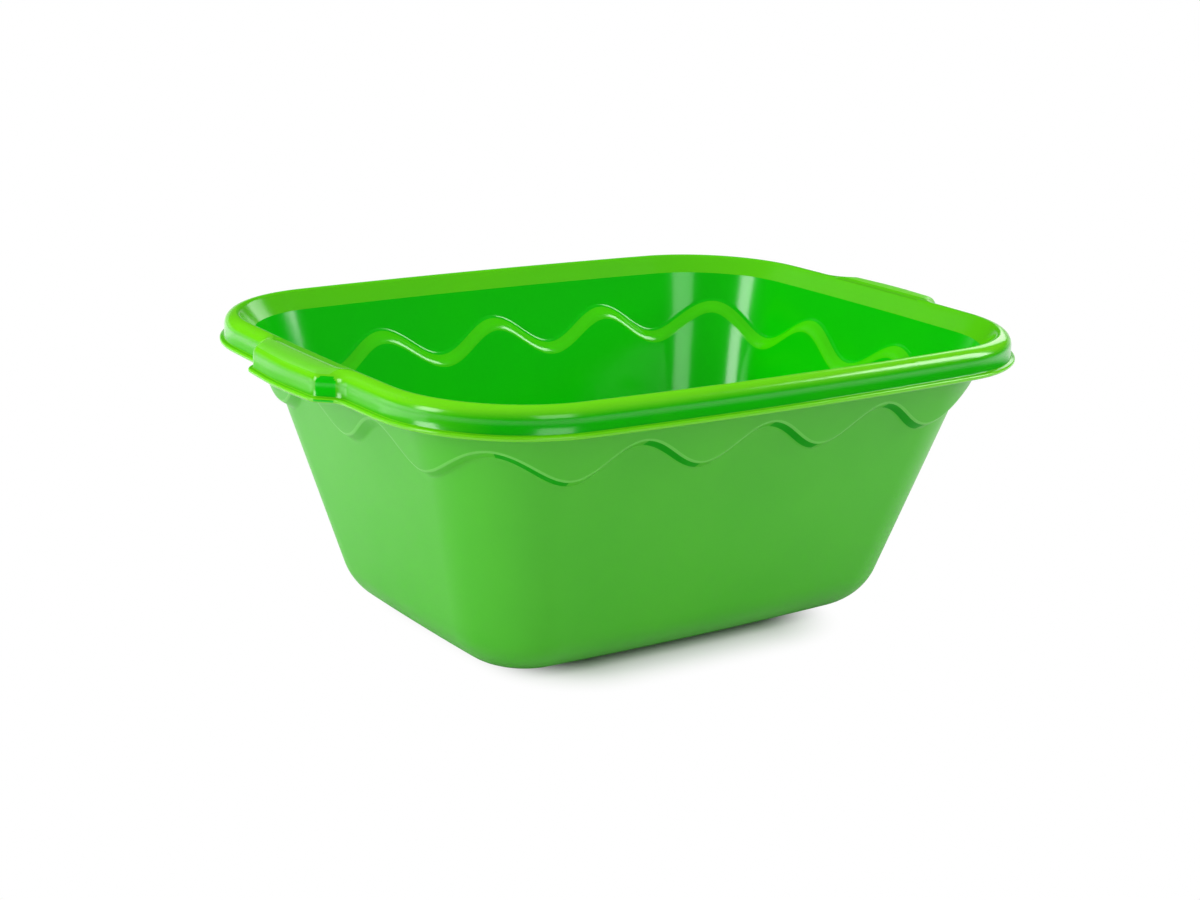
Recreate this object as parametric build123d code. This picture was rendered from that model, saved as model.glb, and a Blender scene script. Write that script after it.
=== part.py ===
from build123d import *
import math
import os

# Washing up bowl moulded in one piece from polypropylene, divided where its form changes.
# Frame: millimetres, +Z up, origin on the table under the middle of the bowl,
# X along the length with a handle at each end.

# Overall sizes
rim_length = 374.0
rim_width = 300.0
rim_height = 155.2
end_bow_radius = 2140.0
side_bow_radius = 2010.0
rim_corner_radius = 74.5

# Wall and floor
wall_thickness = 2.0
floor_thickness = 2.2
rim_slope_height = 9.2
band_top_inset = 15.5
band_slope_share = 0.305
lower_slope_share = 0.29
wall_corner_radius = 47.5
base_corner_radius = 37.5
base_edge_radius = 33.0
base_height = 30.0

# Wavy step in the wall
step_depth = 5.0
ledge_slope_share = 0.65
wave_drop = 38.0
wave_amplitude = 8.2
wave_count = 14
points_per_wave = 8
ledge_reach = 20.0

# Floor panel, raised so that the bowl stands on a ring
foot_ring_width = 7.0
foot_slope_width = 2.4
foot_height = 1.6
foot_corner_radius = 6.0

# Rolled rim
skirt_height = 14.6
lip_thickness = 2.2
lip_chamfer = 0.6
skirt_inset = 2.4
rim_thickness = 2.0
rim_outer_roll = 4.0
rim_inner_roll = 5.0
rim_slope_width = 7.6

# Handles, where the rim widens outwards
handle_reach = 12.0
handle_half_width = 33.5
handle_flare_width = 9.0
handle_bow = 2.4
handle_bow_radius = 220.0
handle_corner_radius = 9.0
handle_root_radius = 9.0
handle_root_margin = 6.0
handle_depth = 50.0

# Shallow hollow in the top of each handle, between the grip and the inside of the bowl
hollow_depth = 0.5
hollow_half_width = 35.5
hollow_inset = 4.5

# Cuts run past the faces that they open by this much
overrun = 5.0

# Heights above the table of the wall's top, the middle of the wave and the rim's lip
wall_height = rim_height - rim_slope_height
wave_height = rim_height - wave_drop
lip_height = rim_height - skirt_height

# Thickness measured level across a wall that leans by its slope share
lower_wall_width = wall_thickness * math.hypot(1, lower_slope_share)
band_width = wall_thickness * math.hypot(1, band_slope_share)


def corner_centre(half_length, half_width, end_radius, side_radius, corner_radius):
    """Centre of the corner arc that touches the end arc and the side arc from inside."""
    end_x = half_length - end_radius
    side_y = half_width - side_radius
    from_end = end_radius - corner_radius
    from_side = side_radius - corner_radius
    gap = math.hypot(end_x, side_y)
    along = (gap**2 + from_end**2 - from_side**2) / (2 * gap)
    across = math.sqrt(from_end**2 - along**2)
    toward_x = -end_x / gap
    toward_y = side_y / gap
    return (end_x + along * toward_x - across * toward_y, along * toward_y + across * toward_x)


def outline_wire(inset, corner_radius, height):
    """Bowed rectangle that lies inset from the rim's lip, from the middle of the +X end."""
    half_length = rim_length / 2 - inset
    half_width = rim_width / 2 - inset
    end_radius = end_bow_radius - inset
    side_radius = side_bow_radius - inset
    cx, cy = corner_centre(half_length, half_width, end_radius, side_radius, corner_radius)
    end_x = half_length - end_radius
    side_y = half_width - side_radius
    end_angle = math.atan2(cy, cx - end_x)
    side_angle = math.atan2(cy - side_y, cx)
    middle_angle = (end_angle + side_angle) / 2
    hx = end_x + end_radius * math.cos(end_angle / 2)
    hy = end_radius * math.sin(end_angle / 2)
    ex = end_x + end_radius * math.cos(end_angle)
    ey = end_radius * math.sin(end_angle)
    mx = cx + corner_radius * math.cos(middle_angle)
    my = cy + corner_radius * math.sin(middle_angle)
    sx = side_radius * math.cos(side_angle)
    sy = side_y + side_radius * math.sin(side_angle)
    end_middle = (half_length, 0, height)
    return Wire([
        ThreePointArc(end_middle, (hx, hy, height), (ex, ey, height)),
        ThreePointArc((ex, ey, height), (mx, my, height), (sx, sy, height)),
        ThreePointArc((sx, sy, height), (0, half_width, height), (-sx, sy, height)),
        ThreePointArc((-sx, sy, height), (-mx, my, height), (-ex, ey, height)),
        ThreePointArc((-ex, ey, height), (-half_length, 0, height), (-ex, -ey, height)),
        ThreePointArc((-ex, -ey, height), (-mx, -my, height), (-sx, -sy, height)),
        ThreePointArc((-sx, -sy, height), (0, -half_width, height), (sx, -sy, height)),
        ThreePointArc((sx, -sy, height), (mx, -my, height), (ex, -ey, height)),
        ThreePointArc((ex, -ey, height), (hx, -hy, height), end_middle),
    ])


def band_level(height):
    """Inset and corner radius of the outside of the band at a height."""
    share = (wall_height - height) / (wall_height - wave_height)
    inset = band_top_inset + band_slope_share * (wall_height - height)
    top_radius = rim_corner_radius - band_top_inset
    wave_radius = wall_corner_radius + step_depth
    return inset, top_radius + (wave_radius - top_radius) * share


def lower_level(height):
    """Inset and corner radius of the outside of the lower wall at a height."""
    share = height / wave_height
    inset = band_level(wave_height)[0] + step_depth + lower_slope_share * (wave_height - height)
    return inset, base_corner_radius + (wall_corner_radius - base_corner_radius) * share


def slope_level(height):
    """Inset and corner radius of the outside of the wall where it leans out into the rim."""
    inset = band_top_inset - rim_slope_width * (height - wall_height) / rim_slope_height
    return inset, rim_corner_radius - inset


def tapered_solid(level, extra, bottom, top):
    """Solid inside a leaning wall between two heights, drawn in by an extra inset."""
    wires = []
    for height in (bottom, top):
        inset, radius = level(height)
        wires.append(outline_wire(inset + extra, radius - extra, height))
    return Solid.make_loft(wires, True)


def wave_curve(reach, height_of):
    """Closed curve round the wall at a level reach from it, its height a function of the wave."""
    path = outline_wire(*lower_level(wave_height), 0)
    count = wave_count * points_per_wave
    points = []
    for index in range(count):
        turn = index / count
        outward = path.tangent_at(turn).cross(Vector(0, 0, 1))
        swing = wave_amplitude * (1 - ledge_slope_share * lower_slope_share)
        wave = wave_height - swing * math.cos(2 * math.pi * wave_count * turn)
        points.append(path.position_at(turn) + outward * reach + Vector(0, 0, height_of(wave)))
    return Edge.make_spline(points, periodic=True)


def above_wave(lift):
    """Ring over the wave, whose underside is a ledge that climbs outwards."""
    top = rim_height + overrun
    climb = ledge_reach * ledge_slope_share
    outer = wave_curve(ledge_reach, lambda wave: wave + climb + lift)
    inner = wave_curve(-ledge_reach, lambda wave: wave - climb + lift)
    outer_top = wave_curve(ledge_reach, lambda wave: top)
    inner_top = wave_curve(-ledge_reach, lambda wave: top)
    ledge = Face.make_surface_from_curves(inner, outer)
    outside = Face.make_surface_from_curves(outer, outer_top)
    inside = Face.make_surface_from_curves(inner, inner_top)
    lid = Face(Wire([outer_top]), [Wire([inner_top])])
    return Solid(Shell([ledge, outside, inside, lid]))


def lowest_edges(solid):
    return solid.edges().group_by(Axis.Z)[0]


def slab(bottom, top):
    """Level slice of space, wider than the bowl."""
    size = 2 * rim_length
    return Pos(0, 0, (bottom + top) / 2) * Box(size, size, top - bottom)


def lower_body():
    """Floor and lower wall in one, up to the rim, before the wave is cut."""
    outside = tapered_solid(lower_level, 0, 0, wall_height)
    outside = fillet(lowest_edges(outside), base_edge_radius)
    floor_top = foot_height + floor_thickness
    inside = tapered_solid(lower_level, lower_wall_width, floor_top, wall_height)
    inside = fillet(lowest_edges(inside), base_edge_radius - wall_thickness)
    return outside, inside


def foot_recess():
    """Space under the raised floor panel, inside the foot ring."""
    inset, radius = lower_level(0)
    lean = math.atan(lower_slope_share)
    rounded_width = base_edge_radius * math.tan((math.pi / 2 - lean) / 2)
    edge = rounded_width + foot_ring_width
    wires = []
    for extra, height in ((edge, 0), (edge + foot_slope_width, foot_height)):
        corner = max(radius - extra, foot_corner_radius)
        wires.append(outline_wire(inset + extra, corner, height))
    return Solid.make_loft(wires, True)


def handle_outline(side):
    """One handle seen from above, a bowed front edge between two flares, its corners still sharp."""
    edge_x = rim_length / 2
    corner_reach = handle_reach - handle_bow
    slope = handle_flare_width / corner_reach
    root_x = side * (edge_x - handle_root_radius)
    corner_x = side * (edge_x + corner_reach)
    root_y = handle_half_width + handle_flare_width + slope * handle_root_radius
    return make_face(Polyline(
        (root_x, -root_y),
        (corner_x, -handle_half_width),
        (side * (edge_x + handle_reach), 0),
        (corner_x, handle_half_width),
        (root_x, root_y),
        close=True,
    ))


def rim_outline(inset):
    """Rim with its handles seen from above, drawn in by an inset."""
    edge_x = rim_length / 2
    face = Face(outline_wire(0, rim_corner_radius, 0)) + handle_outline(1) + handle_outline(-1)
    fronts = [v for v in face.vertices() if abs(v.X) > edge_x + handle_reach - handle_bow / 2]
    face = fillet(fronts, handle_bow_radius)
    front_x = edge_x + handle_reach - 2 * handle_bow
    tips = [v for v in face.vertices() if abs(v.X) > front_x and abs(v.Y) > handle_half_width / 2]
    face = fillet(tips, handle_corner_radius)
    reach_y = handle_half_width + handle_flare_width + handle_root_margin
    roots = [v for v in face.vertices() if abs(v.Y) < reach_y and abs(v.X) < edge_x]
    face = fillet(roots, handle_root_radius)
    return offset(face, -inset) if inset else face


def rim_block(inset, bottom, top):
    """Solid inside the rim's outline between two heights."""
    return Pos(0, 0, bottom) * extrude(rim_outline(inset), top - bottom)


def highest_face(solid):
    return solid.faces().filter_by(Axis.Z).sort_by(Axis.Z)[-1]


def space_under_rim():
    """Everything inside the skirt and under the rim's top."""
    return rim_block(skirt_inset + rim_thickness, lip_height - overrun, rim_height - rim_thickness)


def rim_body():
    """Whole rim: outer skirt with its lip, top, and the slope that leads down to the wall."""
    lip = rim_block(0, lip_height, lip_height + lip_thickness)
    lip = chamfer(lip.edges().filter_by(Axis.Z, reverse=True), lip_chamfer)
    skirt = rim_block(skirt_inset, lip_height, rim_height)
    skirt = fillet(highest_face(skirt).edges(), rim_outer_roll)
    slope = tapered_solid(slope_level, 0, wall_height, rim_height)
    mouth = tapered_solid(slope_level, band_width, wall_height - overrun, rim_height + overrun)
    body = lip + skirt - (space_under_rim() - slope) - mouth
    return fillet(highest_face(body).inner_wires()[0].edges(), rim_inner_roll)


def handle_space(side):
    """Box round one handle, out to where the rim takes its plain form again."""
    half_width = handle_half_width + handle_flare_width + handle_root_margin
    outer_x = rim_length / 2 + handle_reach + overrun
    bottom = lip_height - overrun
    top = rim_height + overrun
    centre = Pos(side * (outer_x - handle_depth / 2), 0, (bottom + top) / 2)
    return centre * Box(handle_depth, 2 * half_width, top - bottom)


def grip_hollow(side):
    """Shallow hollow in the top of one handle, open to the inside of the bowl."""
    inner_x = rim_length / 2 - band_top_inset - band_width - overrun
    outer_x = rim_length / 2 - hollow_inset
    hollow = Pos((inner_x + outer_x) / 2, 0) * Rectangle(outer_x - inner_x, 2 * hollow_half_width)
    cut = Pos(0, 0, rim_height - hollow_depth) * extrude(hollow, hollow_depth + overrun)
    return cut if side > 0 else mirror(cut, Plane.YZ)


def side_half(side):
    """Half of space on one side of the bowl's length, for the near or the far rim."""
    size = 2 * rim_length
    return Pos(0, side * size / 2, rim_height) * Box(size, size, rim_height)


def build():
    """Every region of the moulding, by the name that its file takes."""
    outside, inside = lower_body()
    over_outside = above_wave(0)
    over_inside = above_wave(wall_thickness * math.hypot(1, ledge_slope_share))
    band_bottom = wave_height - wave_amplitude - ledge_reach - overrun
    band_outside = tapered_solid(band_level, 0, band_bottom, wall_height)
    band_inside = tapered_solid(band_level, band_width, band_bottom - overrun, wall_height)
    floor_and_wall = outside - inside - foot_recess()
    bowl = {
        "base": floor_and_wall & slab(0, base_height),
        "lower_wall": floor_and_wall - slab(-overrun, base_height) - over_outside,
        "wave_band": (band_outside & over_outside) - inside - (band_inside & over_inside),
    }
    rim = rim_body()
    right_space = handle_space(1)
    left_space = handle_space(-1)
    bowl["right_handle"] = (rim & right_space) - grip_hollow(1)
    bowl["left_handle"] = (rim & left_space) - grip_hollow(-1)
    long_sides = rim - right_space - left_space
    bowl["near_rim"] = long_sides & side_half(-1)
    bowl["far_rim"] = long_sides & side_half(1)
    return bowl


os.makedirs("parts", exist_ok=True)
for name, solid in build().items():
    export_step(solid, f"parts/{name}.step")
    print(name, len(solid.solids()), round(solid.volume), solid.is_valid)
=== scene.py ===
import math

import bmesh
import bpy
import numpy as np
from mathutils import Matrix, Vector


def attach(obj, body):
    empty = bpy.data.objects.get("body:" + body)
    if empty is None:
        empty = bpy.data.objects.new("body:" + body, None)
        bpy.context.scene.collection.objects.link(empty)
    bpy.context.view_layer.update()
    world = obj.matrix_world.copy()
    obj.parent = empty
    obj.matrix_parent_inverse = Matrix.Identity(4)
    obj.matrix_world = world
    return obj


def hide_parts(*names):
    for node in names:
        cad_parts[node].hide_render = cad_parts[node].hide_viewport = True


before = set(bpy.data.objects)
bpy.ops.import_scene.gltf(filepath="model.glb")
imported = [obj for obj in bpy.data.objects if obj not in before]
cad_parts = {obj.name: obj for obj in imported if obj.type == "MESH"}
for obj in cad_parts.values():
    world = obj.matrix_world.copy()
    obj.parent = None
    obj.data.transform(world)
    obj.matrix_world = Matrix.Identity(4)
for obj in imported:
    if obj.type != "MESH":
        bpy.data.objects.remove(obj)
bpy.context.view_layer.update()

# Camera
# Stands to the left in front of the bowl and looks down on it from above its rim, rolled by
# two degrees, as the photograph's camera was.
camera_azimuth = math.radians(-35.27)
camera_elevation = math.radians(16.15)
camera_roll = math.radians(1.92)
camera_distance = 1.1199
camera_target = Vector((0, 0, 0.0738))

back = Vector((
    math.sin(camera_azimuth) * math.cos(camera_elevation),
    -math.cos(camera_azimuth) * math.cos(camera_elevation),
    math.sin(camera_elevation),
))
level_right = Vector((math.cos(camera_azimuth), math.sin(camera_azimuth), 0))
level_up = back.cross(level_right)
camera_right = level_right * math.cos(camera_roll) + level_up * math.sin(camera_roll)
camera_up = level_up * math.cos(camera_roll) - level_right * math.sin(camera_roll)
camera = bpy.data.objects.new("camera", bpy.data.cameras.new("camera"))
bpy.context.scene.collection.objects.link(camera)
place = Matrix((camera_right, camera_up, back)).transposed().to_4x4()
place.translation = camera_target + back * camera_distance
camera.matrix_world = place
camera.data.sensor_width = 36
camera.data.lens = 63.09
camera.data.shift_x = -0.01256
camera.data.shift_y = 0.01425
bpy.context.scene.camera = camera
bpy.context.scene.view_settings.view_transform = "Standard"


# Base
# The floor of the bowl, a flat panel of moulded polypropylene set a little higher than the ring
# round it, so that the bowl stands on the ring. A large round edge leads up into the wall.
rim_length = 0.374
rim_width = 0.300
end_bow_radius = 2.140
side_bow_radius = 2.010
wall_thickness = 0.002
wall_top = 0.146
band_top_inset = 0.0155
band_slope = 0.305
wave_height = 0.1172
step_depth = 0.005
lower_slope = 0.29
wall_corner_radius = 0.0475
base_corner_radius = 0.0375
base_edge_radius = 0.033
base_edge_steps = 16
base_top = 0.030
floor_top = 0.0038
floor_corner_radius = 0.006
floor_insets = (0.134, 0.124, 0.113, 0.103)
foot_height = 0.0016
foot_ring_width = 0.007
foot_slope_width = 0.0024
foot_rounding = 0.0007
waves = 14
steps_per_wave = 36
stations = waves * steps_per_wave
same_place = 1e-7
outward_limit = 0.05
downward_limit = 0.5


def quarter_arcs(inset, corner_radius):
    """The end, corner and side arcs of a quarter of the outline, as (centre, radius, from, to)."""
    end_radius = end_bow_radius - inset
    side_radius = side_bow_radius - inset
    end_x = rim_length / 2 - inset - end_radius
    side_y = rim_width / 2 - inset - side_radius
    from_end = end_radius - corner_radius
    from_side = side_radius - corner_radius
    gap = math.hypot(end_x, side_y)
    along = (gap**2 + from_end**2 - from_side**2) / (2 * gap)
    across = math.sqrt(from_end**2 - along**2)
    x = end_x - (along * end_x + across * side_y) / gap
    y = (along * side_y - across * end_x) / gap
    first = math.atan2(y, x - end_x)
    second = math.atan2(y - side_y, x)
    return (
        ((end_x, 0), end_radius, 0, first),
        ((x, y), corner_radius, first, second),
        ((0, side_y), side_radius, second, math.pi / 2),
    )


def lower_inset(height):
    """Inset from the rim's lip of the outside of the lower wall."""
    step_inset = band_top_inset + band_slope * (wall_top - wave_height) + step_depth
    return step_inset + lower_slope * (wave_height - height)


def lower_radius(height):
    """Corner radius of the outside of the lower wall."""
    return base_corner_radius + (wall_corner_radius - base_corner_radius) * height / wave_height


def lower_row(height, extra=0):
    """The lower wall at a height, further in by extra, as (inset, corner radius, height)."""
    return (lower_inset(height) + extra, lower_radius(height) - extra, height)


wave_arcs = quarter_arcs(lower_inset(wave_height), lower_radius(wave_height))
arc_lengths = [radius * (last - first) for centre, radius, first, last in wave_arcs]
arc_ends = np.cumsum(arc_lengths) / sum(arc_lengths)


def around(turn, inset, corner_radius, height):
    """Point of the outline at a share of the way round, from the middle of the right end."""
    quarter, share = divmod(turn * 4 % 4, 1)
    if quarter % 2:
        share = 1 - share
    index = min(int(np.searchsorted(arc_ends, share)), 2)
    start = arc_ends[index - 1] if index else 0
    centre, radius, first, last = quarter_arcs(inset, corner_radius)[index]
    angle = first + (last - first) * (share - start) / (arc_ends[index] - start)
    x = centre[0] + radius * math.cos(angle)
    y = centre[1] + radius * math.sin(angle)
    return Vector((x if quarter in (0, 3) else -x, y if quarter in (0, 1) else -y, height))


def edges_by_row(mesh, row_of, rows):
    """For each row of a swept mesh, the edges that lie along it."""
    loops = [[] for _ in range(rows)]
    for edge in mesh.edges:
        ends = {row_of[vert] for vert in edge.verts}
        if len(ends) == 1:
            loops[ends.pop()].append(edge)
    return loops


def ring_mesh(section, closed):
    """Sweeps a section round the bowl. section(turn) lists (inset, corner radius, height)."""
    mesh = bmesh.new()
    rows = len(section(0))
    bmesh.ops.create_grid(mesh, x_segments=stations, y_segments=rows - 1, size=1)
    row_of = {}
    columns = {}
    for vert in mesh.verts:
        column = round((vert.co.x + 1) / 2 * stations)
        row_of[vert] = round((vert.co.y + 1) / 2 * (rows - 1))
        columns.setdefault(column, []).append(vert)
    for column, verts in columns.items():
        turn = column % stations / stations
        points = [around(turn, *row) for row in section(turn)]
        for vert in verts:
            vert.co = points[row_of[vert]]
    bmesh.ops.remove_doubles(mesh, verts=columns[0] + columns[stations], dist=same_place)
    row_of = {vert: row for vert, row in row_of.items() if vert.is_valid}
    loops = edges_by_row(mesh, row_of, rows)
    if closed:
        bmesh.ops.bridge_loops(mesh, edges=loops[0] + loops[-1])
    else:
        bmesh.ops.contextual_create(mesh, geom=loops[0])
        bmesh.ops.contextual_create(mesh, geom=loops[-1])
    return mesh, loops


def soften(mesh, edges, width, segments, finish=0):
    """Rounds edges, and gives the round faces the piece's material of that number."""
    bevel = bmesh.ops.bevel(
        mesh, geom=edges, offset=width, segments=segments, profile=0.5, affect="EDGES", material=-1
    )
    for face in bevel["faces"]:
        face.material_index = finish


def finish_piece(name, mesh, materials, seams):
    """Makes the object, smooth but for the edges of its seams, and rides it on the bowl. Faces
    of the first material that look away from the bowl's axis or down take the second."""
    bmesh.ops.recalc_face_normals(mesh, faces=mesh.faces)
    for face in mesh.faces:
        face.smooth = True
        middle = face.calc_center_median()
        away = Vector((middle.x * rim_width / rim_length, middle.y, 0)).normalized()
        outward = face.normal.dot(away) > outward_limit or face.normal.z < -downward_limit
        if outward and face.material_index == 0:
            face.material_index = 1
    for edge in seams:
        if edge.is_valid:
            edge.smooth = False
    data = bpy.data.meshes.new(name)
    mesh.to_mesh(data)
    mesh.free()
    piece = bpy.data.objects.new(name, data)
    bpy.context.scene.collection.objects.link(piece)
    for material in materials:
        data.materials.append(material)
    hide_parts(name)
    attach(piece, "root")


lean = math.atan(lower_slope)
lower_width = wall_thickness * math.hypot(1, lower_slope)


def round_edge(bottom, radius, extra):
    """Rows of the round edge between floor and wall, from the floor up."""
    reach = radius * math.tan((math.pi / 2 - lean) / 2)
    bottom_inset, bottom_radius, _ = lower_row(bottom, extra)
    centre_inset = bottom_inset + reach
    small = bottom_radius - reach
    wall_inset, large, _ = lower_row(bottom + radius * (1 - math.sin(lean)), extra)
    rows = []
    for step in range(base_edge_steps + 1):
        angle = math.pi / 2 + (lean - math.pi / 2) * step / base_edge_steps
        inset = centre_inset - radius * math.cos(angle)
        share = (centre_inset - inset) / (centre_inset - wall_inset)
        height = bottom + radius * (1 - math.sin(angle))
        rows.append((inset, small + (large - small) * share, height))
    return rows


outer_edge = round_edge(0, base_edge_radius, 0)
inner_edge = round_edge(floor_top, base_edge_radius - wall_thickness, lower_width)
ring_inset = outer_edge[0][0] + foot_ring_width
panel_insets = floor_insets + (ring_inset + foot_slope_width,)


def base_section(turn):
    """From the middle of the underside out, up the round edge, and back in along the floor."""
    panel = [(inset, floor_corner_radius, foot_height) for inset in panel_insets]
    ring = (ring_inset, floor_corner_radius, 0)
    wall = [lower_row(base_top), lower_row(base_top, lower_width)]
    floor = [(inset, floor_corner_radius, floor_top) for inset in reversed(floor_insets)]
    return panel + [ring] + outer_edge + wall + inner_edge[::-1] + floor


class Shade:
    """One socket in a material. Arithmetic on it adds Math nodes."""

    def __init__(self, tree, socket=None):
        self.tree = tree
        self.socket = socket

    def node(self, kind, settings, values, output=0):
        node = self.tree.nodes.new(kind)
        for name, value in settings.items():
            setattr(node, name, value)
        for name, value in values.items():
            if isinstance(value, Shade):
                self.tree.links.new(value.socket, node.inputs[name])
            else:
                node.inputs[name].default_value = value
        return Shade(self.tree, node.outputs[output])

    def math(self, operation, first, second):
        return self.node("ShaderNodeMath", {"operation": operation}, {0: first, 1: second})

    def __add__(self, other):
        return self.math("ADD", self, other)

    def __radd__(self, other):
        return self.math("ADD", other, self)

    def __sub__(self, other):
        return self.math("SUBTRACT", self, other)

    def __rsub__(self, other):
        return self.math("SUBTRACT", other, self)

    def __mul__(self, other):
        return self.math("MULTIPLY", self, other)

    def __rmul__(self, other):
        return self.math("MULTIPLY", other, self)

    def noise(self, scale, detail, roughness=0.5):
        values = {"Vector": self, "Scale": scale, "Detail": detail, "Roughness": roughness}
        return self.node("ShaderNodeTexNoise", {}, values)

    def mixed(self, first, second):
        """First colour where this value is 0, second where it is 1."""
        settings = {"data_type": "RGBA"}
        return self.node("ShaderNodeMix", settings, {0: self, 6: first, 7: second}, 2)

    def rising(self, start, end):
        """0 below the start, 1 above the end, and smooth between them."""
        settings = {"interpolation_type": "SMOOTHSTEP"}
        return self.node("ShaderNodeMapRange", settings, {0: self, 1: start, 2: end})


polypropylene_ior = 1.49
cloud_contrast, speck_contrast = 1.2, 0.25
cloud_gloss, speck_gloss = 0.06, 0.05
# How much the cloud breaks up the mask of painted light.
cloud_in_light_mask = 0.3


def moulded_plastic(
    name, green, deep_green, roughness, grain_scale, grain_depth, swell_depth,
    shine=0.5, painted_light_colour=None, light_mask=None,
):
    """Green polypropylene, a little uneven in colour and gloss, with the grain of its mould.
    Where the given mask is 1, the colour is painted paler, as painted light."""
    material = bpy.data.materials.new(name)
    material.use_nodes = True
    shader = material.node_tree.nodes["Principled BSDF"]
    place = Shade(material.node_tree).node("ShaderNodeTexCoord", {}, {}, "Object")
    cloud = place.noise(scale=18, detail=3) - 0.5
    speck = place.noise(scale=1400, detail=2) - 0.5
    swell = place.noise(scale=22, detail=1)
    grain = place.noise(grain_scale, detail=3, roughness=0.6)
    tone = cloud * cloud_contrast + speck * speck_contrast + 0.5
    colour = tone.mixed((*green, 1), (*deep_green, 1))
    if light_mask:
        colour = (light_mask(place) + cloud * cloud_in_light_mask).mixed(colour, (*painted_light_colour, 1))
    gloss = roughness + cloud * cloud_gloss + speck * speck_gloss
    height = swell * swell_depth + grain * grain_depth
    bump = height.node("ShaderNodeBump", {}, {"Strength": 1, "Distance": 1, "Height": height})
    links = material.node_tree.links
    links.new(colour.socket, shader.inputs["Base Color"])
    links.new(gloss.socket, shader.inputs["Roughness"])
    links.new(bump.socket, shader.inputs["Normal"])
    shader.inputs["IOR"].default_value = polypropylene_ior
    shader.inputs["Specular IOR Level"].default_value = shine
    return material


glossy_green = moulded_plastic(
    "glossy_green_plastic", (0.004, 0.54, 0.0), (0.0, 0.48, 0.0),
    roughness=0.16, grain_scale=900, grain_depth=0.000004, swell_depth=0.00025,
)
satin_green = moulded_plastic(
    "satin_green_plastic", (0.06, 0.50, 0.002), (0.045, 0.45, 0.001),
    roughness=0.38, grain_scale=1500, grain_depth=0.00001, swell_depth=0.0003,
)

mesh, loops = ring_mesh(base_section, closed=False)
panel_row = len(floor_insets)
wall_row = len(panel_insets) + 1 + len(outer_edge)
seams = loops[wall_row] + loops[wall_row + 1]
soften(mesh, loops[panel_row] + loops[panel_row + 1], foot_rounding, segments=3)
finish_piece("base", mesh, [glossy_green, satin_green], seams)


# Lower wall
# The leaning wall between the round edge of the floor and the wavy step. It is the same
# moulding as the floor, satin outside and glossy inside, and ends half way up the step.
rim_corner_radius = 0.0745
wave_amplitude = 0.0082
ledge_climb = 0.65
wall_rows = 16
outer_rounding = 0.0009
shelf_rounding = 0.0026
falling_climb = -0.16

ledge_lift = wall_thickness * math.hypot(1, ledge_climb)
band_width = wall_thickness * math.hypot(1, band_slope)
# The step climbs as it goes outwards, and so do the walls that it joins. Each share is what is
# left of a wall's height once the step's climb over that wall's lean is taken off.
lower_share = 1 - ledge_climb * lower_slope
band_share = 1 - ledge_climb * band_slope
wave_swing = wave_amplitude * lower_share


def band_row(height, extra=0):
    """The wave band at a height, further in by extra, as (inset, corner radius, height)."""
    inset = band_top_inset + band_slope * (wall_top - height)
    share = (wall_top - height) / (wall_top - wave_height)
    top_radius = rim_corner_radius - band_top_inset
    radius = top_radius + (wall_corner_radius + step_depth - top_radius) * share
    return (inset + extra, radius - extra, height)


def between(first, second, share):
    """The row at a share of the way from the first to the second."""
    return tuple(a + (b - a) * share for a, b in zip(first, second))


def rows_between(first, last, steps):
    return [between(first, last, step / steps) for step in range(steps + 1)]


def with_middle(foot, top):
    return foot, between(foot, top, 0.5), top


def ledge(turn):
    """Foot, middle and top of the step outside, then inside, as section rows."""
    swing = -wave_swing * math.cos(2 * math.pi * waves * turn)
    foot = wave_height + swing / lower_share
    top = wave_height + (swing + ledge_climb * step_depth) / band_share
    raised = swing + ledge_lift
    inner_foot = wave_height + (raised - ledge_climb * lower_width) / lower_share
    inner_top = wave_height + (raised + ledge_climb * (step_depth - band_width)) / band_share
    inner_rows = lower_row(inner_foot, lower_width), band_row(inner_top, band_width)
    return with_middle(lower_row(foot), band_row(top)), with_middle(*inner_rows)


def lower_section(turn):
    """Up the outside from the base to the middle of the step, and back down the inside."""
    (foot, middle, _), (inner_foot, inner_middle, _) = ledge(turn)
    outside = rows_between(lower_row(base_top), foot, wall_rows)
    inside = rows_between(lower_row(base_top, lower_width), inner_foot, wall_rows)
    return outside + [middle, inner_middle] + inside[::-1]


def paint(edges, finish, climb_below=math.inf):
    """Gives the faces beside these edges the piece's material of that number, but only where
    the edges, followed to the right from outside, climb less than climb_below."""
    for edge in edges:
        start, end = (vert.co for vert in edge.verts)
        along = end - start
        side = 1 if start.x * along.y - start.y * along.x > 0 else -1
        if along.z * side < climb_below * along.xy.length:
            for face in edge.link_faces:
                face.material_index = finish


# The step's shelf inside is painted a paler, yellower green than the wall, as painted light on its
# upward face.
lit_ledge_green = moulded_plastic(
    "ledge_painted_light_plastic", (0.06, 0.62, 0.0), (0.04, 0.56, 0.0),
    roughness=0.16, grain_scale=900, grain_depth=0.000004, swell_depth=0.00025,
)
# The step's underside outside is painted a dark, dull green where it falls to the right, as painted
# shade.
shaded_ledge_green = moulded_plastic(
    "ledge_painted_shade_plastic", (0.0, 0.36, 0.0), (0.0, 0.32, 0.0),
    roughness=0.4, grain_scale=1500, grain_depth=0.00001, swell_depth=0.0003, shine=0.1,
)
wall_greens = [glossy_green, satin_green, lit_ledge_green, shaded_ledge_green]
lit_shelf, shaded_underside = wall_greens.index(lit_ledge_green), wall_greens.index(shaded_ledge_green)

mesh, loops = ring_mesh(lower_section, closed=True)
foot, middle, inner_middle, inner_foot = loops[wall_rows:wall_rows + 4]
seams = loops[0] + middle + inner_middle + loops[-1]
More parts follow.
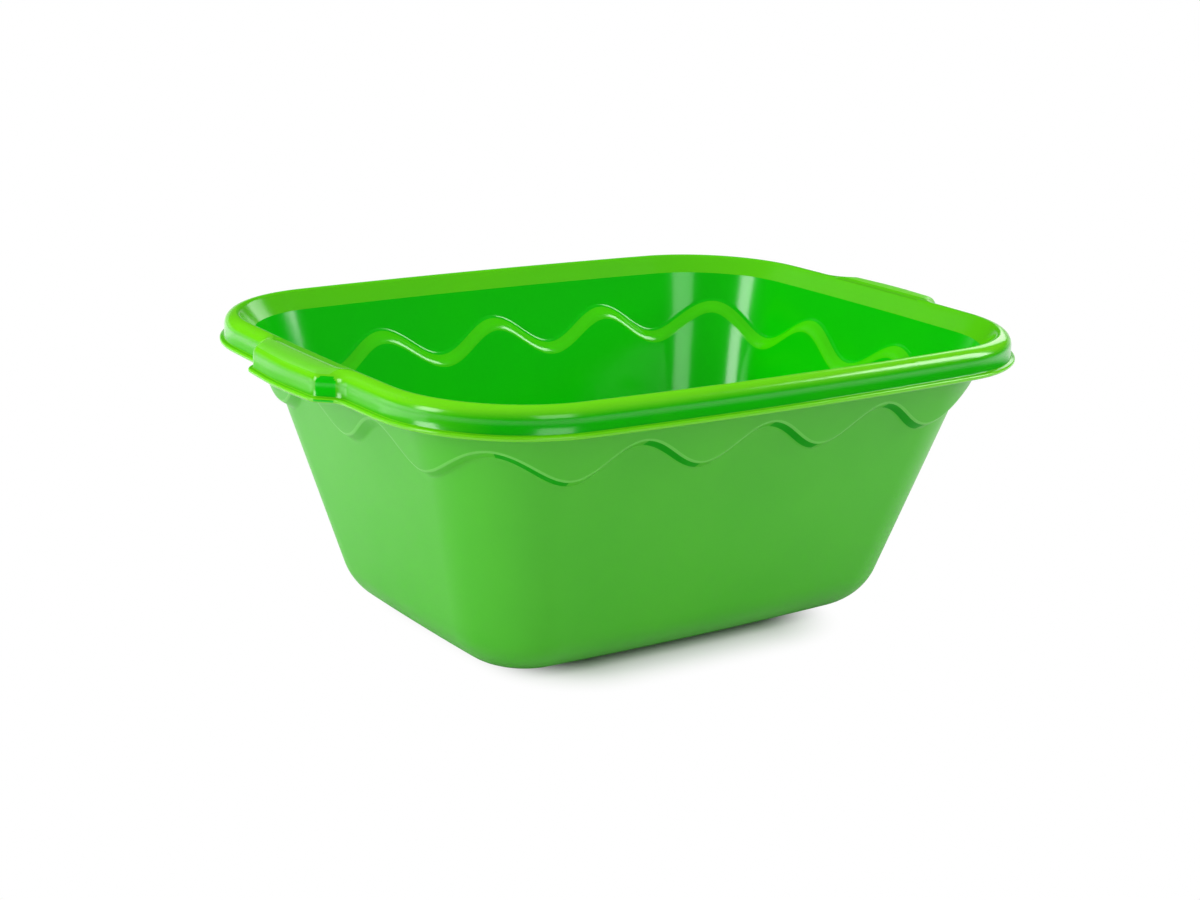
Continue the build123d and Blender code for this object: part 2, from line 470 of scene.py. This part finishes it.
# Painted shade on the step's underside where it falls to the right, and painted light on the shelf
# and its round nosing inside.
paint(middle, shaded_underside, falling_climb)
paint(inner_middle, lit_shelf)
soften(mesh, foot, outer_rounding, segments=4)
soften(mesh, inner_foot, shelf_rounding, segments=8, finish=lit_shelf)
finish_piece("lower_wall", mesh, wall_greens, seams)


# Wave band
# The top of the wall, which stands out past the lower wall over a step in fourteen waves.
# The step stiffens the thin wall, and the moulding keeps one thickness all through it.
band_rows = 8
inner_corner_rounding = 0.0012


def band_section(turn):
    """Up the outside from the middle of the step to the rim, and back down the inside."""
    (_, middle, top), (_, inner_middle, inner_top) = ledge(turn)
    outside = rows_between(top, band_row(wall_top), band_rows)
    inside = rows_between(inner_top, band_row(wall_top, band_width), band_rows)
    return [middle] + outside + inside[::-1] + [inner_middle]


# The round outer edge of the step is painted a paler green, as a painted highlight line along it.
highlight_edge_green = moulded_plastic(
    "edge_painted_highlight_plastic", (0.13, 0.58, 0.06), (0.09, 0.53, 0.03),
    roughness=0.34, grain_scale=1500, grain_depth=0.00001, swell_depth=0.0003,
)
band_greens = wall_greens + [highlight_edge_green]

mesh, loops = ring_mesh(band_section, closed=True)
seams = loops[0] + loops[band_rows + 1] + loops[band_rows + 2] + loops[-1]
# Painted shade on the step's underside where it falls, painted light on the shelf, and a painted
# highlight on the round outer edge.
paint(loops[0], shaded_underside, falling_climb)
paint(loops[-1], lit_shelf)
soften(mesh, loops[1], outer_rounding, segments=4, finish=band_greens.index(highlight_edge_green))
soften(mesh, loops[-2], inner_corner_rounding, segments=5)
finish_piece("wave_band", mesh, band_greens, seams)


# Near and far rim
# The wall leans out into a rim like an upturned channel, arched on top, with a skirt that
# ends in a thin lip. It is moulded with the wall, and runs round the corners between handles.
rim_top = 0.1552
rim_thickness = 0.002
under_chamfer = 0.0025
lip_bottom = 0.1406
lip_top = 0.1428
lip_chamfer = 0.0006
skirt_inset = 0.0024
skirt_chamfer = 0.0004
slope_reach = 0.0076
rim_slope = slope_reach / (rim_top - wall_top)
outer_roll = 0.0062
inner_roll = 0.0028
roll_steps = 10
slope_steps = 4
handle_end = 0.0485
level_limit = 1e-6


def rim_rows():
    """Closed section of the rim as (inset, height), from the foot of its inner leg."""
    under = rim_top - rim_thickness
    inner = skirt_inset + rim_thickness
    rows = [
        (band_top_inset, wall_top),
        (band_top_inset - rim_slope * (under - wall_top), under),
        (inner + under_chamfer, under),
        (inner, under - under_chamfer),
        (inner, lip_bottom),
        (lip_chamfer, lip_bottom),
        (0, lip_bottom + lip_chamfer),
        (0, lip_top - lip_chamfer),
        (lip_chamfer, lip_top),
        (skirt_inset - skirt_chamfer, lip_top),
        (skirt_inset, lip_top + skirt_chamfer),
    ]
    for step in range(roll_steps + 1):
        angle = math.pi / 2 * step / roll_steps
        inset = skirt_inset + outer_roll * (1 - math.cos(angle))
        rows.append((inset, rim_top - outer_roll * (1 - math.sin(angle))))
    slope_angle = math.pi / 2 - math.atan(rim_slope)
    corner = band_top_inset + band_width - rim_slope * (rim_top - wall_top)
    centre = corner - inner_roll * math.tan(slope_angle / 2)
    for step in range(1, roll_steps + 1):
        angle = slope_angle * step / roll_steps
        inset = centre + inner_roll * math.sin(angle)
        rows.append((inset, rim_top - inner_roll * (1 - math.cos(angle))))
    foot = (band_top_inset + band_width, wall_top)
    return rows + rows_between(rows[-1], foot, slope_steps)[1:]


def rim_section(turn):
    return [(inset, rim_corner_radius - inset, height) for inset, height in rim_rows()]


# Where the rim is painted paler as painted light: over its top roll, along its lip and towards its
# ends.
top_light_fade = 0.0008
lip_light_fade = 0.0004
end_light_start, end_light_full = 0.15, 0.19
end_light_share = 0.45


def light_mask(place):
    """Mask of painted light on the rim: its top roll, its lip as a painted highlight, and its ends.
    """
    level = place.node("ShaderNodeSeparateXYZ", {}, {0: place}, "Z")
    along = place.node("ShaderNodeVectorMath", {"operation": "ABSOLUTE"}, {0: place})
    along = along.node("ShaderNodeSeparateXYZ", {}, {0: along}, "X")
    top = level.rising(rim_top - outer_roll, rim_top - top_light_fade)
    lip = 1 - level.rising(lip_top, lip_top + lip_light_fade)
    return top + lip + along.rising(end_light_start, end_light_full) * end_light_share


# The rim's faces towards the inside and up are painted a paler, yellower green than the bowl's
# inside, as painted light. Its skirt is painted a deeper green, as painted shade, and paler again
# over its top roll, its lip and its ends, as painted light.
lit_rim_plastic = moulded_plastic(
    "rim_painted_light_plastic", (0.09, 0.54, 0.002), (0.072, 0.50, 0.001),
    roughness=0.17, grain_scale=1100, grain_depth=0.000006, swell_depth=0.00025,
)
skirt_shade_and_light_plastic = moulded_plastic(
    "skirt_painted_shade_and_light_plastic", (0.004, 0.42, 0.0), (0.001, 0.37, 0.0),
    roughness=0.17, grain_scale=1100, grain_depth=0.000006, swell_depth=0.00025,
    painted_light_colour=(0.13, 0.60, 0.004), light_mask=light_mask,
)

for name, side in (("near_rim", -1), ("far_rim", 1)):
    mesh, _ = ring_mesh(rim_section, closed=True)
    bmesh.ops.bisect_plane(
        mesh,
        geom=[*mesh.verts, *mesh.edges, *mesh.faces],
        dist=same_place,
        plane_co=(0, side * handle_end, 0),
        plane_no=(0, side, 0),
        clear_inner=True,
    )
    ends = [edge for edge in mesh.edges if edge.is_boundary]
    bmesh.ops.holes_fill(mesh, edges=ends)
    foot = [
        edge for edge in mesh.edges
        if all(abs(vert.co.z - wall_top) < level_limit for vert in edge.verts)
    ]
    finish_piece(name, mesh, [lit_rim_plastic, skirt_shade_and_light_plastic], foot + ends)


# Handles
# At each end the rim is drawn out into a flat tab between two flares, for the hand. The tab
# has a fine grain, and a shallow hollow lies between it and the inside of the bowl.
handle_reach = 0.012
handle_half_width = 0.0335
handle_flare_width = 0.009
handle_bow = 0.0024
handle_bow_radius = 0.220
handle_corner_radius = 0.009
handle_root_radius = 0.009
handle_corner_steps = 24
handle_columns = 130
root_run = 0.02
rim_step = 0.002
rim_steps = 8
hollow_depth = 0.0005
hollow_half_width = 0.0355
hollow_end_fade = 0.001
hollow_inset = 0.0045
# The crease at the hollow's edge: share of the way across, reach past the edge, share of depth.
crease_points = ((0.25, 0.0005, 0), (0.5, 0, 0.5), (0.75, -0.0007, 1))
grip_overlap = 0.0006
grip_depth = outer_roll / 4
flare_overlap = 0.001
flare_normal = 0.6


def ring_x(inset, y):
    """Where the plain rim's end lies at y, on the right."""
    radius = end_bow_radius - inset
    return rim_length / 2 - end_bow_radius + math.sqrt(radius**2 - y**2)


def handle_outline():
    """The handle's lip seen from above: (point, normal) from its middle out to the plain rim."""
    corner_x = rim_length / 2 + handle_reach - handle_bow
    root_y = handle_half_width + handle_flare_width
    corners = [
        ((corner_x, -handle_half_width), 0),
        ((rim_length / 2 + handle_reach, 0), handle_bow_radius),
        ((corner_x, handle_half_width), handle_corner_radius),
        ((ring_x(0, root_y), root_y), handle_root_radius),
        ((ring_x(0, root_y + root_run), root_y + root_run), 0),
    ]
    points = []
    for (before, _), (corner, radius), (after, _) in zip(corners, corners[1:], corners[2:]):
        into = (Vector(corner) - Vector(before)).normalized()
        out = (Vector(after) - Vector(corner)).normalized()
        turn = math.atan2(into.x * out.y - into.y * out.x, into.dot(out))
        reach = radius * math.tan(abs(turn) / 2)
        inward = Vector((-into.y, into.x)) * math.copysign(1, turn)
        centre = Vector(corner) - into * reach + inward * radius
        for step in range(handle_corner_steps + 1):
            angle = abs(turn) * step / handle_corner_steps
            spoke = into * math.sin(angle) - inward * math.cos(angle)
            points.append((centre + spoke * radius, spoke * math.copysign(1, turn)))
    y = points[-1][0].y
    for step in range(1, rim_steps + 1):
        along = y + rim_step * step
        normal = Vector((1, along / end_bow_radius)).normalized()
        points.append((Vector((ring_x(0, along), along)), normal))
    return [(point, normal) for point, normal in points if point.y >= 0]


outline = handle_outline()


def handle_x(inset, y):
    """Where the handle's outline lies at y, drawn in by an inset."""
    points = sorted((point - normal * inset for point, normal in outline), key=lambda at: at.y)
    return float(np.interp(abs(y), [at.y for at in points], [at.x for at in points]))


def ramp(value, start, end):
    """0 below the start, 1 above the end, and smooth between them."""
    share = min(max((value - start) / (end - start), 0), 1)
    return share * share * (3 - 2 * share)


plain_rows = rim_rows()
leg_rows = 2
top_middle = len(plain_rows) - slope_steps - roll_steps - 1


def handle_rows(y):
    """Section of the handle at y as (x, height), row for row the rim's with a crease in its top."""
    ending = ramp(abs(y), hollow_half_width - hollow_end_fade, hollow_half_width)
    hollow = hollow_depth * (1 - ending)
    rows = []
    for index, (inset, height) in enumerate(plain_rows):
        if leg_rows <= index <= top_middle:
            rows.append((handle_x(inset, y), height))
        elif index < leg_rows:
            rows.append((ring_x(inset, y), height))
        else:
            rows.append((ring_x(inset, y), min(height, rim_top - hollow)))
    outside = rows[top_middle][0]
    inside = rows[top_middle + 1][0]
    crease = []
    for share, reach, drop in crease_points:
        across = outside + (inside - outside) * share
        crease.append((min(across, ring_x(hollow_inset, y) + reach), rim_top - hollow * drop))
    return rows[:top_middle + 1] + crease + rows[top_middle + 1:]


# The tab's fine grain and matt finish are its own, but its paler, yellower green is painted light
# on the tab's top. The faces of the flares take the bowl's plain glossy green.
grip_grain_and_light_plastic = moulded_plastic(
    "grip_grain_and_painted_light_plastic", (0.15, 0.62, 0.02), (0.11, 0.56, 0.01),
    roughness=0.42, grain_scale=2400, grain_depth=0.00003, swell_depth=0.0003,
)
handle_greens = [lit_rim_plastic, skirt_shade_and_light_plastic, grip_grain_and_light_plastic, glossy_green]

for name, side in (("right_handle", 1), ("left_handle", -1)):
    mesh = bmesh.new()
    rows = len(plain_rows) + len(crease_points)
    bmesh.ops.create_grid(mesh, x_segments=handle_columns, y_segments=rows - 1, size=1)
    row_of = {vert: round((vert.co.y + 1) / 2 * (rows - 1)) for vert in mesh.verts}
    sections = {}
    for vert in mesh.verts:
        y = vert.co.x * handle_end
        if y not in sections:
            sections[y] = handle_rows(y)
        x, height = sections[y][row_of[vert]]
        vert.co = Vector((side * x, y, height))
    loops = edges_by_row(mesh, row_of, rows)
    bmesh.ops.bridge_loops(mesh, edges=loops[0] + loops[-1])
    ends = [edge for edge in mesh.edges if edge.is_boundary]
    bmesh.ops.holes_fill(mesh, edges=ends)
    for face in mesh.faces:
        middle = face.calc_center_median()
        past_hollow = abs(middle.x) > ring_x(hollow_inset - grip_overlap, middle.y)
        on_top = middle.z > rim_top - grip_depth
        beside_tab = abs(middle.y) > handle_half_width - flare_overlap
        # The tab's top takes the grained grip green, painted paler as painted light.
        if past_hollow and on_top and abs(middle.y) < hollow_half_width:
            face.material_index = handle_greens.index(grip_grain_and_light_plastic)
        elif beside_tab and abs(face.normal.y) > flare_normal:
            face.material_index = handle_greens.index(glossy_green)
    finish_piece(name, mesh, handle_greens, loops[0] + loops[-1] + ends)


# Floor and backdrop
# A wide sweep of matt, nearly white paper under the bowl. It keeps the bowl's soft shadow, and
# outside a soft patch round the bowl it shows plain white to the camera, like the backdrop.
sweep_size = 8
paper_white = (0.8, 0.765, 0.795, 1)
patch_centre = (-0.01, -0.012, 0)
patch_half_size = (0.05, 0.045, 0)
patch_fade_start, patch_fade_end = 0.013, 0.058

floor_mesh = bmesh.new()
bmesh.ops.create_grid(floor_mesh, x_segments=1, y_segments=1, size=sweep_size)
floor_data = bpy.data.meshes.new("floor")
floor_mesh.to_mesh(floor_data)
floor_mesh.free()
floor = bpy.data.objects.new("floor", floor_data)
bpy.context.scene.collection.objects.link(floor)

paper = bpy.data.materials.new("white_sweep")
paper.use_nodes = True
floor_data.materials.append(paper)
nodes = Shade(paper.node_tree)
seen = nodes.node("ShaderNodeLightPath", {}, {}, "Is Camera Ray")
away = nodes.node("ShaderNodeTexCoord", {}, {}, "Object")
for operation, operand in (
    ("SUBTRACT", patch_centre),
    ("ABSOLUTE", (0, 0, 0)),
    ("SUBTRACT", patch_half_size),
    ("MAXIMUM", (0, 0, 0)),
):
    away = away.node("ShaderNodeVectorMath", {"operation": operation}, {0: away, 1: operand})
away = away.node("ShaderNodeVectorMath", {"operation": "LENGTH"}, {0: away}, "Value")
far = away.rising(patch_fade_start, patch_fade_end)
matt = nodes.node("ShaderNodeBsdfDiffuse", {}, {"Color": paper_white})
white = nodes.node("ShaderNodeEmission", {}, {"Color": (1, 1, 1, 1), "Strength": 1})
sweep = matt.node("ShaderNodeMixShader", {}, {0: seen * far, 1: matt, 2: white})
paper.node_tree.links.new(
    sweep.socket, paper.node_tree.nodes["Material Output"].inputs["Surface"]
)

# The backdrop is white to the camera. In reflections it is dark, but for a low strip behind the
# bowl, and all else it lights softly, most of all from above.
behind_start, behind_full = 0, 0.5
strip_fade_start, strip_fade_end = 0.06, 0.14
strip_strength, mirrored_strength = 0.6, 0.02
overhead_strength, low_strength = 0.8, 0.2

world = bpy.data.worlds.new("studio")
bpy.context.scene.world = world
world.use_nodes = True
backdrop = world.node_tree.nodes["Background"]
backdrop.inputs["Color"].default_value = (1, 1, 1, 1)
sky = Shade(world.node_tree)
seen = sky.node("ShaderNodeLightPath", {}, {}, "Is Camera Ray")
mirrored = sky.node("ShaderNodeLightPath", {}, {}, "Is Glossy Ray")
heading = sky.node("ShaderNodeTexCoord", {}, {}, "Generated")
slope = heading.node("ShaderNodeSeparateXYZ", {}, {0: heading}, "Z")
depth = heading.node("ShaderNodeSeparateXYZ", {}, {0: heading}, "Y")
behind = depth.rising(behind_start, behind_full)
strip = behind * (1 - slope.rising(strip_fade_start, strip_fade_end))
in_mirror = strip * strip_strength + mirrored_strength
on_surface = slope.rising(0, 1) * overhead_strength + low_strength
strength = seen + mirrored * in_mirror + (1 - seen - mirrored) * on_surface
world.node_tree.links.new(strength.socket, backdrop.inputs["Strength"])


# Lights
# Seven soft boxes. Those at the back, left and right give most of the light, and the front box
# and the low card on the left fill in. The front glint and the glint box add highlights.
def soft_box(name, place, target, size, power, mirrored=True, lit=True):
    """mirrored is whether the box shows in gloss, and lit whether it lights matt surfaces."""
    lamp = bpy.data.lights.new(name, "AREA")
    lamp.shape = "RECTANGLE"
    lamp.size, lamp.size_y = size
    lamp.energy = power
    box = bpy.data.objects.new(name, lamp)
    bpy.context.scene.collection.objects.link(box)
    box.location = place
    box.rotation_euler = (Vector(target) - Vector(place)).to_track_quat("-Z", "Y").to_euler()
    box.visible_glossy = mirrored
    box.visible_diffuse = lit


soft_box("back_box", (-0.75, 1.35, 1.25), (0, 0, 0.1), (1.1, 0.7), 20, mirrored=False)
soft_box("left_box", (-1.6, 0.1, 0.75), (0, 0, 0.08), (0.5, 0.7), 9)
soft_box("left_card", (-0.95, 0.35, 0.14), (-0.15, 0, 0.06), (0.8, 0.24), 1.0)
soft_box("front_box", (0.1, -1.7, 0.8), (0, 0, 0.08), (0.4, 1.0), 3.6, mirrored=False)
soft_box("front_glint", (-0.12, -1.7, 0.8), (0, 0, 0.08), (0.8, 0.8), 6, lit=False)
soft_box("right_box", (1.33, -0.68, 0.96), (0.05, -0.15, 0.15), (0.5, 0.8), 11.5)
soft_box("glint_box", (1.36, 0.72, 0.74), (0, 0.12, 0.12), (0.5, 0.66), 2.5)
